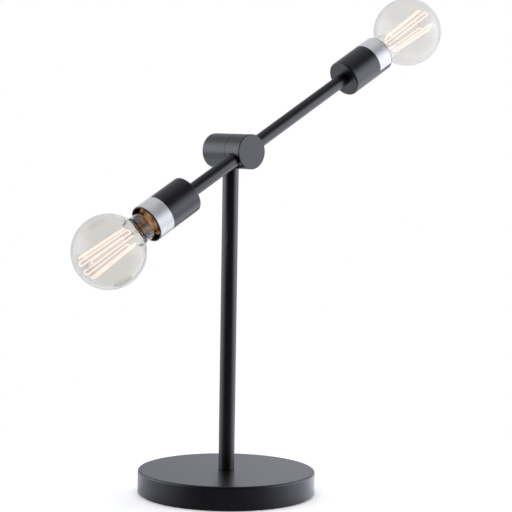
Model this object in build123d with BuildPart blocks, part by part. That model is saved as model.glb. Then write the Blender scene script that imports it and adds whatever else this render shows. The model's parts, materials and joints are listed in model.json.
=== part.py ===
from build123d import *
from math import asin, atan2, cos, degrees, pi, radians, sin, sqrt
import os

# Table lamp with two bare globe bulbs on a tilting balance arm, in millimetres.
# Origin: middle of the foot pad's underside, +Z up. The pivot barrel lies along Y with its
# front end towards -Y. The arm swings in a plane parallel to XZ, its raised end towards +X.

# Arrangement
pivot_height = 386.2  # pivot axis above the table
arm_tilt = 29.2  # degrees above level at rest
arm_travel = 70.0  # degrees either side of level, where the stop pin ends the swing
left_cup_back = 94.1  # pivot axis to the back of the lower cup, along the arm
right_cup_back = 171.0  # the same for the raised cup

# Clearances
thread_clearance = 0.05  # radial, between plain surfaces that stand for mating threads
slip_clearance = 0.05  # radial, where a tube or plug is pushed in and brazed
running_clearance = 0.05  # radial and axial, between pieces that turn on each other
loose_clearance = 0.3  # where pieces only have to pass each other

# Base: a drawn steel cover over a cast weight, with a glued foot pad
base_diameter = 200.0
base_height = 27.0  # top of the cover above the table
base_wall = 1.2
base_edge_radius = 2.5
foot_gap = 1.5  # cover's rim above the table
pad_thickness = 3.0
pad_margin = 1.5  # cover's wall to the pad's edge
weight_margin = 0.5  # cover's wall to the weight's edge
weight_thickness = 10.0
boss_diameter = 56.0
boss_web = 7.8  # iron left above the nut recess
recess_diameter = 40.0
slot_width = 12.0  # cord channel through the weight

# Cord inlet in the rear of the base
inlet_height = 9.0
inlet_bore = 7.0
bushing_shank_diameter = 9.8
bushing_flange_diameter = 13.6
bushing_flange_thickness = 1.5
bushing_barb_diameter = 11.0
bushing_inner_length = 3.0  # barb behind the cover's wall

# Hollow lamp nipples and their nuts, M10 x 1
nipple_diameter = 10.0
nipple_bore = 7.0
nut_width = 14.0  # across flats
nut_thickness = 5.0
washer_diameter = 24.0
washer_thickness = 1.6
base_nipple_stickout = 1.4  # below the base nut
base_nipple_engagement = 14.0  # inside the post's foot plug
top_nipple_engagement = 12.0  # inside the post's head plug
top_nipple_stickout = 1.0  # into the pivot cavity

# Post
post_diameter = 18.0
post_wall = 1.2
post_plug_length = 16.0
post_seat_depth = 3.2  # how far the post's end sits inside the pivot body

# Pivot: one plain barrel in two halves that turn on a hollow axle
barrel_diameter = 38.8
barrel_front = -35.5  # Y of the front end
barrel_rear = 27.0  # Y of the rear end
barrel_edge = 0.6  # broken end edges
seam_y = -11.2  # middle of the seam between the halves
seam_gap = 0.5
web_thickness = 5.5  # front wall of the fixed half
cavity_diameter = 21.0
cap_diameter = 27.0
cap_thickness = 2.5
cap_spigot_length = 3.0
friction_washer_diameter = 24.0
friction_washer_thickness = 1.0
axle_engagement = 6.8  # screwed into the head
disc_spring_thickness = 0.8
disc_spring_height = 1.4
pivot_washer_diameter = 17.0
pivot_washer_thickness = 1.0
axle_stickout = 2.0  # behind the pivot nut
stop_pin_diameter = 3.0
stop_pin_circle = 30.0  # diameter of the circle that the pin travels on
stop_pin_seat = 4.5  # pressed into the head
stop_pin_reach = 2.4  # into the slot
stop_slot_depth = 3.0

# Arm tubes
arm_y = -23.8  # the arm's axis, through the front half of the barrel
arm_diameter = 15.0
arm_wall = 1.0
arm_seat = 13.0  # pivot axis to the tube's inner end
arm_seat_clearance = 0.6  # radial, round the tube where it enters the barrel
arm_plug_length = 10.0
arm_nipple_length = 16.0
arm_nipple_inset = 7.0  # hub nipple inside the tube's end, towards the pivot axis
cup_nipple_outset = 8.0  # cup nipple beyond the back of the cup

# Cups
cup_diameter = 42.0
cup_length = 63.5
cup_wall = 1.2
cup_edge_radius = 1.6
band_width = 20.0  # foil band round the mouth
band_setback = 1.2  # cup's mouth to the band
band_thickness = 0.15
band_gap = 0.02
band_wrap = 275.0  # degrees of the cup that the band covers
band_ends = {"left": 50.0, "right": 32.0}  # lower end, degrees below the front of the cup

# Lampholders, Edison screw
holder_diameter = 35.0
holder_entry_wall = 7.0  # tapped wall at the back
holder_base_length = 18.8
holder_base_bore = 30.0
holder_spigot_length = 2.0
holder_septum = 8.0
holder_length = 53.8  # back wall to front rim
shell_bore = 27.0
shell_wall = 0.5
shell_lip_length = 1.2
shell_lip_flare = 0.7
shell_floor_hole = 14.0
contact_width = 5.0
contact_length = 11.0
contact_thickness = 0.5
terminal_circle = 19.0  # diameter on which the two terminals sit
terminal_head_diameter = 6.0
terminal_head_thickness = 2.2
terminal_shank_diameter = 3.4
terminal_shank_length = 5.0
lead_diameter = 2.2
lead_spread = 4.0  # between the two leads in a tube
lead_bend_setback = 2.0  # past the nipple's end, where the leads part

# Globe bulbs
globe_diameter = 80.0
bulb_length = 126.0  # crown to contact tip
neck_diameter = 31.6
neck_blend = 5.0  # radius where the globe runs into the neck
shoulder_length = 5.0  # where the neck draws in to the cap
glass_wall = 0.8
glass_tail = 5.0  # glass cemented inside the cap
cap_length = 26.5  # metal cap, insulator and tip
bulb_cap_diameter = 26.2
bulb_cap_wall = 0.35
bulb_cap_rim_diameter = 27.4
bulb_cap_rim_length = 1.6
insulator_length = 4.5
insulator_tip_diameter = 11.0
tip_length = 1.5
tip_diameter = 9.5
contact_air = 0.3  # contact leaf to the bulb's tip

# Glass mount and squirrel-cage filament inside each globe
stem_tube_diameter = 9.0
stem_tube_top = -34.0  # from the globe's centre, towards the cap
stem_rod_diameter = 3.2
stem_rod_top = 33.0
cage_crown_diameter = 27.0
cage_crown_place = 31.0
cage_socket_diameter = 22.0
cage_socket_place = -29.0
cage_runs = 10  # straight runs of the filament; an even number ends it beside its start
filament_diameter = 0.5
filament_turn = 2.0  # width of each turn over its hook
support_diameter = 0.7
support_stickout = 0.8  # beyond the filament
support_clearance = 0.1
lead_in_circle = 6.0  # where the two lead-ins leave the glass

# Derived places
base_radius = base_diameter / 2
cover_ceiling = base_height - base_wall
weight_radius = base_radius - base_wall - weight_margin
recess_ceiling = cover_ceiling - boss_web
nipple_radius = nipple_diameter / 2
tapped_radius = nipple_radius + thread_clearance
post_bore_radius = post_diameter / 2 - post_wall
barrel_radius = barrel_diameter / 2
post_top = pivot_height - barrel_radius + post_seat_depth
head_rear = seam_y - seam_gap / 2
body_front = seam_y + seam_gap / 2
web_rear = body_front + web_thickness
washer_front = head_rear + running_clearance
washer_seat = washer_front + friction_washer_thickness
slot_floor = body_front + stop_slot_depth
arm_radius = arm_diameter / 2
cup_radius = cup_diameter / 2
holder_radius = holder_diameter / 2
shell_radius = shell_bore / 2 + shell_wall
globe_radius = globe_diameter / 2
neck_radius = neck_diameter / 2
cap_radius = bulb_cap_diameter / 2

# Distances from the back of a cup, outwards
holder_back = cup_wall
holder_joint = holder_back + holder_base_length
shell_floor = holder_joint + holder_septum
holder_rim = holder_back + holder_length
contact_rise = 5.0
bulb_tip = shell_floor + contact_rise + contact_air
globe_centre = bulb_tip + bulb_length - globe_radius

# Distances from the globe's centre, negative towards the cap
cap_top = cap_length + globe_radius - bulb_length
shoulder_top = cap_top + shoulder_length

ends = {"left": (-1, left_cup_back), "right": (1, right_cup_back)}
os.makedirs("parts", exist_ok=True)


def save(piece, name):
    """Labels a finished piece and writes it to its own file."""
    piece.part.label = name
    export_step(piece.part, f"parts/{name}.step")


def pivot_plane(y):
    """A plane across the pivot axis at y, facing the front, with its own y axis upwards."""
    return Plane(origin=(0, y, pivot_height), x_dir=(1, 0, 0), z_dir=(0, -1, 0))


def outward(side):
    """The direction along the arm, away from the pivot."""
    return Vector(side * cos(radians(arm_tilt)), 0, side * sin(radians(arm_tilt)))


def station(side, distance):
    """A plane across the arm, facing outwards, at a distance from the pivot axis."""
    centre = Vector(0, arm_y, pivot_height) + outward(side) * distance
    return Plane(origin=centre, x_dir=(0, 1, 0), z_dir=outward(side))


def lengthwise(side, distance):
    """A plane along the arm, for profiles: x outwards from the distance, y off the axis."""
    centre = Vector(0, arm_y, pivot_height) + outward(side) * distance
    return Plane(origin=centre, x_dir=outward(side), z_dir=(0, -side, 0))


def arm_axis(side):
    """The arm's axis, pointing outwards."""
    return Axis(Vector(0, arm_y, pivot_height), outward(side))


# Base

with BuildPart() as base_shell:
    with BuildSketch(Plane.XZ):
        with BuildLine():
            FilletPolyline(
                (nipple_radius + loose_clearance, base_height),
                (base_radius, base_height),
                (base_radius, foot_gap),
                radius=base_edge_radius,
            )
            offset(amount=base_wall, side=Side.RIGHT)
        make_face()
    revolve(axis=Axis.Z)
    with BuildSketch(Plane(origin=(0, base_radius, inlet_height), z_dir=(0, 1, 0))):
        Circle(bushing_shank_diameter / 2 + slip_clearance)
    extrude(amount=-2 * base_wall, mode=Mode.SUBTRACT)
save(base_shell, "base_shell")

with BuildPart() as base_weight:
    with BuildSketch(Plane.XY.offset(pad_thickness)):
        Circle(weight_radius)
    extrude(amount=weight_thickness)
    with BuildSketch(Plane.XY.offset(pad_thickness)):
        Circle(boss_diameter / 2)
    extrude(amount=cover_ceiling - pad_thickness)
    with BuildSketch(Plane.XY.offset(pad_thickness)):
        Circle(recess_diameter / 2)
    extrude(amount=recess_ceiling - pad_thickness, mode=Mode.SUBTRACT)
    with BuildSketch(Plane.XY.offset(cover_ceiling)):
        Circle(nipple_radius + loose_clearance)
    extrude(amount=-boss_web, mode=Mode.SUBTRACT)
    with BuildSketch(Plane.XY.offset(pad_thickness)):
        with Locations((0, weight_radius / 2)):
            Rectangle(slot_width, weight_radius + 2 * weight_margin)
    extrude(amount=inlet_height + slot_width / 2 - pad_thickness, mode=Mode.SUBTRACT)
save(base_weight, "base_weight")

with BuildPart() as base_pad:
    with BuildSketch():
        Circle(base_radius - base_wall - pad_margin)
    extrude(amount=pad_thickness)
save(base_pad, "base_pad")

# A snap-in bushing: flange outside, shank through the wall, barb inside
barb_outer_face = base_radius - base_wall - loose_clearance
barb_inner_face = barb_outer_face - bushing_inner_length
with BuildPart() as cord_bushing:
    with BuildSketch(Plane(origin=(0, base_radius, inlet_height), z_dir=(0, 1, 0))):
        Circle(bushing_flange_diameter / 2)
    extrude(amount=bushing_flange_thickness)
    chamfer(cord_bushing.edges().sort_by(Axis.Y)[-1], bushing_flange_thickness / 2)
    with BuildSketch(Plane(origin=(0, base_radius, inlet_height), z_dir=(0, 1, 0))):
        Circle(bushing_shank_diameter / 2)
    extrude(amount=barb_inner_face - base_radius)
    with BuildSketch(Plane(origin=(0, barb_outer_face, inlet_height), z_dir=(0, -1, 0))):
        Circle(bushing_barb_diameter / 2)
    extrude(amount=bushing_inner_length, taper=8)
    with BuildSketch(Plane(origin=(0, barb_inner_face, inlet_height), z_dir=(0, 1, 0))):
        Circle(inlet_bore / 2)
    extrude(
        amount=base_radius + bushing_flange_thickness - barb_inner_face,
        mode=Mode.SUBTRACT,
    )
save(cord_bushing, "cord_bushing")

base_nut_top = recess_ceiling - washer_thickness
base_nipple_bottom = base_nut_top - nut_thickness - base_nipple_stickout

with BuildPart() as base_washer:
    with BuildSketch(Plane.XY.offset(base_nut_top)):
        Circle(washer_diameter / 2)
        Circle(nipple_radius + loose_clearance, mode=Mode.SUBTRACT)
    extrude(amount=washer_thickness)
save(base_washer, "base_washer")

with BuildPart() as base_nut:
    with BuildSketch(Plane.XY.offset(base_nut_top - nut_thickness)):
        RegularPolygon(nut_width / 2, 6, major_radius=False)
        Circle(tapped_radius, mode=Mode.SUBTRACT)
    extrude(amount=nut_thickness)
save(base_nut, "base_nut")

with BuildPart() as base_nipple:
    with BuildSketch(Plane.XY.offset(base_nipple_bottom)):
        Circle(nipple_radius)
        Circle(nipple_bore / 2, mode=Mode.SUBTRACT)
    extrude(amount=base_height + base_nipple_engagement - base_nipple_bottom)
save(base_nipple, "base_nipple")

# Post

with BuildPart() as post:
    with BuildSketch(Plane.XY.offset(base_height)):
        Circle(post_diameter / 2)
        Circle(post_bore_radius, mode=Mode.SUBTRACT)
    extrude(amount=post_top - base_height)
save(post, "post")

for name, bottom in (
    ("post_foot_plug", base_height),
    ("post_head_plug", post_top - post_plug_length),
):
    with BuildPart() as post_plug:
        with BuildSketch(Plane.XY.offset(bottom)):
            Circle(post_bore_radius - slip_clearance)
            Circle(tapped_radius, mode=Mode.SUBTRACT)
        extrude(amount=post_plug_length)
    save(post_plug, name)

top_nipple_end = pivot_height - cavity_diameter / 2 + top_nipple_stickout
with BuildPart() as post_top_nipple:
    with BuildSketch(Plane.XY.offset(post_top - top_nipple_engagement)):
        Circle(nipple_radius)
        Circle(nipple_bore / 2, mode=Mode.SUBTRACT)
    extrude(amount=top_nipple_end - post_top + top_nipple_engagement)
save(post_top_nipple, "post_top_nipple")

# Pivot, fixed half. The slot sweeps the pin's travel, level in its middle.

stop_slot_half_angle = arm_travel + 0.5
with BuildPart() as pivot_body:
    with BuildSketch(pivot_plane(barrel_rear)):
        Circle(barrel_radius)
    extrude(amount=barrel_rear - body_front)
    chamfer(pivot_body.edges().sort_by(Axis.Y)[-1], barrel_edge)
    with BuildSketch(pivot_plane(barrel_rear)):
        Circle(cavity_diameter / 2)
    extrude(amount=barrel_rear - web_rear, mode=Mode.SUBTRACT)
    with BuildSketch(pivot_plane(barrel_rear)):
        Circle(cap_diameter / 2 + slip_clearance)
    extrude(amount=cap_thickness, mode=Mode.SUBTRACT)
    with BuildSketch(pivot_plane(web_rear)):
        Circle(nipple_radius + running_clearance)
    extrude(amount=web_thickness, mode=Mode.SUBTRACT)
    with BuildSketch(pivot_plane(washer_seat)):
        Circle(friction_washer_diameter / 2 + slip_clearance)
    extrude(amount=washer_seat - body_front, mode=Mode.SUBTRACT)
    with BuildSketch(pivot_plane(slot_floor)):
        with BuildLine() as pin_track:
            CenterArc(
                (0, 0), stop_pin_circle / 2, 90 - stop_slot_half_angle, 2 * stop_slot_half_angle
            )
        SlotArc(pin_track.edge(), stop_pin_diameter + 2 * running_clearance)
    extrude(amount=stop_slot_depth, mode=Mode.SUBTRACT)
    with BuildSketch(Plane.XY.offset(pivot_height - barrel_radius)):
        Circle(post_diameter / 2 + slip_clearance)
    extrude(amount=post_seat_depth, mode=Mode.SUBTRACT)
    with BuildSketch(Plane.XY.offset(pivot_height - barrel_radius)):
        Circle(tapped_radius)
    extrude(
        amount=top_nipple_end + loose_clearance - pivot_height + barrel_radius,
        mode=Mode.SUBTRACT,
    )
save(pivot_body, "pivot_body")

with BuildPart() as pivot_rear_cap:
    with BuildSketch(pivot_plane(barrel_rear)):
        Circle(cap_diameter / 2)
    extrude(amount=cap_thickness)
    with BuildSketch(pivot_plane(barrel_rear - cap_thickness)):
        Circle(cavity_diameter / 2 - slip_clearance)
        Circle(cavity_diameter / 2 - slip_clearance - post_wall, mode=Mode.SUBTRACT)
    extrude(amount=cap_spigot_length)
save(pivot_rear_cap, "pivot_rear_cap")

with BuildPart() as friction_washer:
    with BuildSketch(pivot_plane(washer_seat)):
        Circle(friction_washer_diameter / 2)
        Circle(nipple_radius + loose_clearance, mode=Mode.SUBTRACT)
    extrude(amount=friction_washer_thickness)
save(friction_washer, "friction_washer")

# Pivot, turning half. The arm's cross hole, its two seats and the axle's hole meet inside.

with BuildPart() as pivot_head:
    with BuildSketch(pivot_plane(head_rear)):
        Circle(barrel_radius)
    extrude(amount=head_rear - barrel_front)
    chamfer(pivot_head.edges().sort_by(Axis.Y)[0], barrel_edge)
    for side in (-1, 1):
        with BuildSketch(station(side, 0)):
            Circle(tapped_radius)
        extrude(amount=barrel_radius, mode=Mode.SUBTRACT)
        with BuildSketch(station(side, arm_seat)):
            Circle(arm_radius + arm_seat_clearance)
        extrude(amount=barrel_radius, mode=Mode.SUBTRACT)
    with BuildSketch(pivot_plane(head_rear)):
        Circle(tapped_radius)
    extrude(amount=head_rear - arm_y, mode=Mode.SUBTRACT)
    with BuildSketch(pivot_plane(head_rear)):
        with PolarLocations(stop_pin_circle / 2, 1, start_angle=90 + arm_tilt):
            Circle(stop_pin_diameter / 2 + slip_clearance)
    extrude(amount=stop_pin_seat, mode=Mode.SUBTRACT)
save(pivot_head, "pivot_head")

with BuildPart() as stop_pin:
    with BuildSketch(pivot_plane(body_front + stop_pin_reach)):
        with PolarLocations(stop_pin_circle / 2, 1, start_angle=90 + arm_tilt):
            Circle(stop_pin_diameter / 2)
    extrude(amount=stop_pin_reach + seam_gap + stop_pin_seat)
save(stop_pin, "stop_pin")

# Axle stack behind the web: disc spring, washer, nut, all turning with the arm
spring_front = web_rear + running_clearance
pivot_washer_front = spring_front + disc_spring_height
pivot_nut_front = pivot_washer_front + pivot_washer_thickness
axle_rear = pivot_nut_front + nut_thickness + axle_stickout

with BuildPart() as pivot_axle:
    with BuildSketch(pivot_plane(axle_rear)):
        Circle(nipple_radius)
        Circle(nipple_bore / 2, mode=Mode.SUBTRACT)
    extrude(amount=axle_rear - head_rear + axle_engagement)
save(pivot_axle, "pivot_axle")

with BuildPart() as disc_spring:
    with BuildSketch(Plane(origin=(0, spring_front, pivot_height), x_dir=(0, 1, 0), z_dir=(1, 0, 0))):
        with BuildLine():
            Polyline(
                (0, nipple_radius + loose_clearance),
                (disc_spring_thickness, nipple_radius + loose_clearance),
                (disc_spring_height, pivot_washer_diameter / 2),
                (disc_spring_height - disc_spring_thickness, pivot_washer_diameter / 2),
                close=True,
            )
        make_face()
    revolve(axis=Axis((0, 0, pivot_height), (0, 1, 0)))
save(disc_spring, "disc_spring")

with BuildPart() as pivot_washer:
    with BuildSketch(pivot_plane(pivot_nut_front)):
        Circle(pivot_washer_diameter / 2)
        Circle(nipple_radius + loose_clearance, mode=Mode.SUBTRACT)
    extrude(amount=pivot_washer_thickness)
save(pivot_washer, "pivot_washer")

with BuildPart() as pivot_nut:
    with BuildSketch(pivot_plane(pivot_nut_front + nut_thickness)):
        RegularPolygon(nut_width / 2, 6, major_radius=False)
        Circle(tapped_radius, mode=Mode.SUBTRACT)
    extrude(amount=nut_thickness)
save(pivot_nut, "pivot_nut")

# Arm: two tubes with a tapped plug brazed in each end, and a nipple in each plug

for name, (side, cup_back) in ends.items():
    with BuildPart() as arm_tube:
        with BuildSketch(station(side, arm_seat)):
            Circle(arm_radius)
            Circle(arm_radius - arm_wall, mode=Mode.SUBTRACT)
        extrude(amount=cup_back - arm_seat)
    save(arm_tube, f"arm_{name}")

with BuildPart() as arm_plugs:
    for side, cup_back in ends.values():
        for start in (arm_seat, cup_back - arm_plug_length):
            with BuildSketch(station(side, start)):
                Circle(arm_radius - arm_wall - slip_clearance)
                Circle(tapped_radius, mode=Mode.SUBTRACT)
            extrude(amount=arm_plug_length)
save(arm_plugs, "arm_plugs")

with BuildPart() as arm_nipples:
    for side, cup_back in ends.values():
        hub_start = arm_seat - arm_nipple_inset
        cup_start = cup_back + cup_nipple_outset - arm_nipple_length
        for start in (hub_start, cup_start):
            with BuildSketch(station(side, start)):
                Circle(nipple_radius)
                Circle(nipple_bore / 2, mode=Mode.SUBTRACT)
            extrude(amount=arm_nipple_length)
save(arm_nipples, "arm_nipples")

# Two insulated leads in each tube, from the pivot to just behind the terminals
terminal_seat = holder_joint - holder_spigot_length
lead_end = terminal_seat - terminal_head_thickness - loose_clearance - lead_diameter / 2
for name, (side, cup_back) in ends.items():
    with BuildPart() as leads:
        for row in (-1, 1):
            route = [
                (arm_seat - arm_nipple_inset, row * lead_spread / 2),
                (cup_back + cup_nipple_outset + lead_bend_setback, row * lead_spread / 2),
                (cup_back + lead_end, row * terminal_circle / 2),
            ]
            with BuildLine(lengthwise(side, 0)) as lead_route:
                Polyline(*route)
            with BuildSketch(Plane(origin=lead_route.line @ 0, z_dir=lead_route.line % 0)):
                Circle(lead_diameter / 2)
            sweep(path=lead_route.line, transition=Transition.RIGHT)
    save(leads, f"leads_{name}")

# Cups with their foil bands

for name, (side, cup_back) in ends.items():
    with BuildPart() as cup:
        with BuildSketch(lengthwise(side, cup_back)):
            with BuildLine():
                FilletPolyline(
                    (0, nipple_radius + loose_clearance),
                    (0, cup_radius),
                    (cup_length, cup_radius),
                    radius=cup_edge_radius,
                )
                offset(amount=cup_wall, side=Side.RIGHT)
            make_face()
        revolve(axis=arm_axis(side))
    save(cup, f"cup_{name}")

    band_start = cup_back + cup_length - band_setback - band_width
    band_inner = cup_radius + band_gap
    # Round the cup, the local x axis points to the rear and y up on the right, down on the left
    band_first = 180 + side * band_ends[name]
    with BuildPart() as band:
        with BuildSketch(station(side, band_start)):
            with BuildLine():
                inner_arc = CenterArc((0, 0), band_inner, band_first, -side * band_wrap)
                outer_arc = CenterArc(
                    (0, 0), band_inner + band_thickness, band_first, -side * band_wrap
                )
                Line(inner_arc @ 0, outer_arc @ 0)
                Line(inner_arc @ 1, outer_arc @ 1)
            make_face()
        extrude(amount=band_width)
    save(band, f"foil_band_{name}")

# Lampholders

for name, (side, cup_back) in ends.items():
    profile_plane = lengthwise(side, cup_back)

    with BuildPart() as holder_base:
        with BuildSketch(profile_plane):
            with BuildLine():
                Polyline(
                    (holder_back, tapped_radius),
                    (holder_back, holder_radius),
                    (holder_joint, holder_radius),
                    (holder_joint, holder_base_bore / 2),
                    (holder_back + holder_entry_wall, holder_base_bore / 2),
                    (holder_back + holder_entry_wall, tapped_radius),
                    close=True,
                )
            make_face()
        revolve(axis=arm_axis(side))
    save(holder_base, f"holder_base_{name}")

    with BuildPart() as holder_body:
        with BuildSketch(profile_plane):
            with BuildLine():
                Polyline(
                    (terminal_seat, 0),
                    (terminal_seat, holder_base_bore / 2 - slip_clearance),
                    (holder_joint, holder_base_bore / 2 - slip_clearance),
                    (holder_joint, holder_radius),
                    (holder_rim, holder_radius),
                    (holder_rim, shell_radius + slip_clearance),
                    (shell_floor, shell_radius + slip_clearance),
                    (shell_floor, 0),
                    close=True,
                )
            make_face()
        revolve(axis=arm_axis(side))
        with BuildSketch(station(side, cup_back + terminal_seat)):
            with PolarLocations(terminal_circle / 2, 2, start_angle=90):
                Circle(terminal_shank_diameter / 2 + thread_clearance)
        extrude(amount=terminal_shank_length + loose_clearance, mode=Mode.SUBTRACT)
    save(holder_body, f"holder_body_{name}")

    with BuildPart() as terminal_screws:
        with BuildSketch(station(side, cup_back + terminal_seat)):
            with PolarLocations(terminal_circle / 2, 2, start_angle=90):
                Circle(terminal_head_diameter / 2)
        extrude(amount=-terminal_head_thickness)
        with BuildSketch(station(side, cup_back + terminal_seat)):
            with PolarLocations(terminal_circle / 2, 2, start_angle=90):
                Circle(terminal_shank_diameter / 2)
        extrude(amount=terminal_shank_length)
    save(terminal_screws, f"terminal_screws_{name}")

    # Drawn brass shell with a turned-in floor and a flared lip over the holder's rim
    lip_start = holder_rim + loose_clearance
    with BuildPart() as screw_shell:
        with BuildSketch(profile_plane):
            with BuildLine():
                Polyline(
                    (shell_floor, shell_floor_hole / 2),
                    (shell_floor, shell_radius),
                    (lip_start, shell_radius),
                    (lip_start + shell_lip_flare, shell_radius + shell_lip_flare),
                    (lip_start + shell_lip_length, shell_radius + shell_lip_flare),
                    (lip_start + shell_lip_length, shell_radius + shell_lip_flare - shell_wall),
                    (lip_start + shell_lip_flare - shell_wall / 2, shell_radius - shell_wall),
                    (shell_floor + shell_wall, shell_radius - shell_wall),
                    (shell_floor + shell_wall, shell_floor_hole / 2),
                    close=True,
                )
            make_face()
        revolve(axis=arm_axis(side))
    save(screw_shell, f"screw_shell_{name}")

    # Spring leaf: flat foot on the septum, sprung up to just below the bulb's tip
    leaf_top = shell_floor + contact_rise
    with BuildPart() as centre_contact:
        with BuildSketch(profile_plane):
            with BuildLine():
                Polyline(
                    (shell_floor, -contact_length / 2),
                    (shell_floor, contact_length / 4),
                    (leaf_top - contact_thickness, -contact_width / 2),
                    (leaf_top - contact_thickness, contact_width / 2),
                    (leaf_top, contact_width / 2),
                    (leaf_top, -contact_width / 2 - 2 * contact_thickness),
                    (shell_floor + contact_thickness, contact_length / 4 - 2 * contact_thickness),
                    (shell_floor + contact_thickness, -contact_length / 2),
                    close=True,
                )
            make_face()
        extrude(amount=contact_width / 2, both=True)
    save(centre_contact, f"centre_contact_{name}")

# Bulbs. Profiles run from the globe's centre, negative towards the cap.

blend_x = -sqrt((globe_radius + neck_blend) ** 2 - (neck_radius + neck_blend) ** 2)
blend_angle = degrees(atan2(neck_radius + neck_blend, blend_x))
glass_seat_radius = cap_radius - bulb_cap_wall - loose_clearance
threaded_bottom = cap_top - cap_length + insulator_length + tip_length
stem_flare_radius = glass_seat_radius - glass_wall - loose_clearance

for name, (side, cup_back) in ends.items():
    centre = cup_back + globe_centre
    profile_plane = lengthwise(side, centre)

    # Blown glass: globe, blended neck, shoulder and a tail inside the cap, open at the tail
    with BuildPart() as bulb_glass:
        with BuildSketch(profile_plane):
            with BuildLine():
                CenterArc((0, 0), globe_radius, 0, blend_angle)
                blend = CenterArc(
                    (blend_x, neck_radius + neck_blend),
                    neck_blend,
                    180 + blend_angle,
                    90 - blend_angle,
                )
                Polyline(
                    blend @ 1,
                    (shoulder_top, neck_radius),
                    (cap_top, glass_seat_radius),
                    (cap_top - glass_tail, glass_seat_radius),
                )
                offset(amount=glass_wall, side=Side.LEFT, kind=Kind.INTERSECTION)
            make_face()
        revolve(axis=arm_axis(side))
    save(bulb_glass, f"bulb_glass_{name}")

    # Rolled cap: rim over the glass, threaded length, taper to the insulator
    with BuildPart() as bulb_cap:
        with BuildSketch(profile_plane):
            with BuildLine():
                Polyline(
                    (cap_top, bulb_cap_rim_diameter / 2),
                    (cap_top - bulb_cap_rim_length, bulb_cap_rim_diameter / 2),
                    (cap_top - 2 * bulb_cap_rim_length, cap_radius),
                    (threaded_bottom, cap_radius),
                    (threaded_bottom, insulator_tip_diameter / 2 + bulb_cap_wall),
                    (threaded_bottom + bulb_cap_wall, insulator_tip_diameter / 2 + bulb_cap_wall),
                    (threaded_bottom + bulb_cap_wall, cap_radius - bulb_cap_wall),
                    (cap_top - 2 * bulb_cap_rim_length, cap_radius - bulb_cap_wall),
                    (cap_top - bulb_cap_rim_length, bulb_cap_rim_diameter / 2 - bulb_cap_wall),
                    (cap_top, bulb_cap_rim_diameter / 2 - bulb_cap_wall),
                    close=True,
                )
            make_face()
        revolve(axis=arm_axis(side))
    save(bulb_cap, f"bulb_cap_{name}")

    with BuildPart() as bulb_insulator:
        with BuildSketch(station(side, centre + threaded_bottom)):
            Circle(cap_radius - bulb_cap_wall)
        with BuildSketch(station(side, centre + threaded_bottom - insulator_length)):
            Circle(insulator_tip_diameter / 2)
        loft()
    save(bulb_insulator, f"bulb_insulator_{name}")

    with BuildPart() as bulb_contact:
        with BuildSketch(station(side, centre + threaded_bottom - insulator_length)):
            Circle(tip_diameter / 2)
        extrude(amount=-tip_length, taper=20)
    save(bulb_contact, f"bulb_contact_{name}")

    # Glass mount: flare sealed to the tail, tube, and the rod that carries the cage
    with BuildPart() as glass_stem:
        with BuildSketch(profile_plane):
            with BuildLine():
                Polyline(
                    (cap_top - glass_tail, 0),
                    (cap_top - glass_tail, stem_flare_radius),
                    (cap_top - glass_tail + glass_wall, stem_flare_radius),
                    (cap_top, stem_tube_diameter / 2),
                    (stem_tube_top - stem_tube_diameter / 2, stem_tube_diameter / 2),
                    (stem_tube_top, stem_rod_diameter / 2),
                    (stem_rod_top, stem_rod_diameter / 2),
                    (stem_rod_top, 0),
                    close=True,
                )
            make_face()
        revolve(axis=arm_axis(side))
    save(glass_stem, f"glass_stem_{name}")

    # Squirrel-cage filament: one wire that turns over hooks on two rings
    runs = []
    hooks = []
    for k in range(cage_runs + 1):
        at_crown = k % 2 == 1
        ring_place = cage_crown_place if at_crown else cage_socket_place
        ring_radius = (cage_crown_diameter if at_crown else cage_socket_diameter) / 2
        angle = 2 * pi * k / (cage_runs + 1)
        half_turn = asin(filament_turn / 2 / ring_radius)
        for turn in (-half_turn, half_turn):
            across = ring_radius * cos(angle + turn)
            along = ring_radius * sin(angle + turn)
            runs.append(profile_plane.from_local_coords((ring_place, across, along)))
        inset = (filament_diameter + support_diameter) / 2 + support_clearance
        hook_place = ring_place - inset if at_crown else ring_place + inset
        hooks.append((hook_place, ring_radius + support_stickout, angle))

    with BuildPart() as filament:
        with BuildLine() as filament_route:
            Polyline(*runs[1:-1])
        with BuildSketch(Plane(origin=filament_route.line @ 0, z_dir=filament_route.line % 0)):
            RegularPolygon(filament_diameter / 2, 6)
        sweep(path=filament_route.line, transition=Transition.RIGHT)
    save(filament, f"filament_{name}")

    # Hook wires stand out from the rod. The first and the last come from the stem as lead-ins.
    with BuildPart() as filament_supports:
        for k, (place, reach, angle) in enumerate(hooks):
            is_lead_in = k in (0, cage_runs)
            foot_radius = lead_in_circle / 2 if is_lead_in else stem_rod_diameter / 2
            foot_place = stem_tube_top if is_lead_in else place
            foot = profile_plane.from_local_coords(
                (foot_place, foot_radius * cos(angle), foot_radius * sin(angle))
            )
            tip = profile_plane.from_local_coords((place, reach * cos(angle), reach * sin(angle)))
            with BuildSketch(Plane(origin=foot, z_dir=tip - foot)):
                RegularPolygon(support_diameter / 2, 6)
            extrude(amount=(tip - foot).length)
    save(filament_supports, f"filament_supports_{name}")
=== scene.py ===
"""Looks of the table lamp with two globe bulbs: finishes, turned skins, wound filaments, studio.

Lengths in the dataclasses are millimetres, as on a drawing. Meshes are made about their own axis
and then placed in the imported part's frame, which is in metres with +Z up.
"""

import json
import logging
import math
from dataclasses import dataclass, field
from enum import Enum
from typing import Any

import bmesh
import bpy
from mathutils import Matrix, Vector


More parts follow.
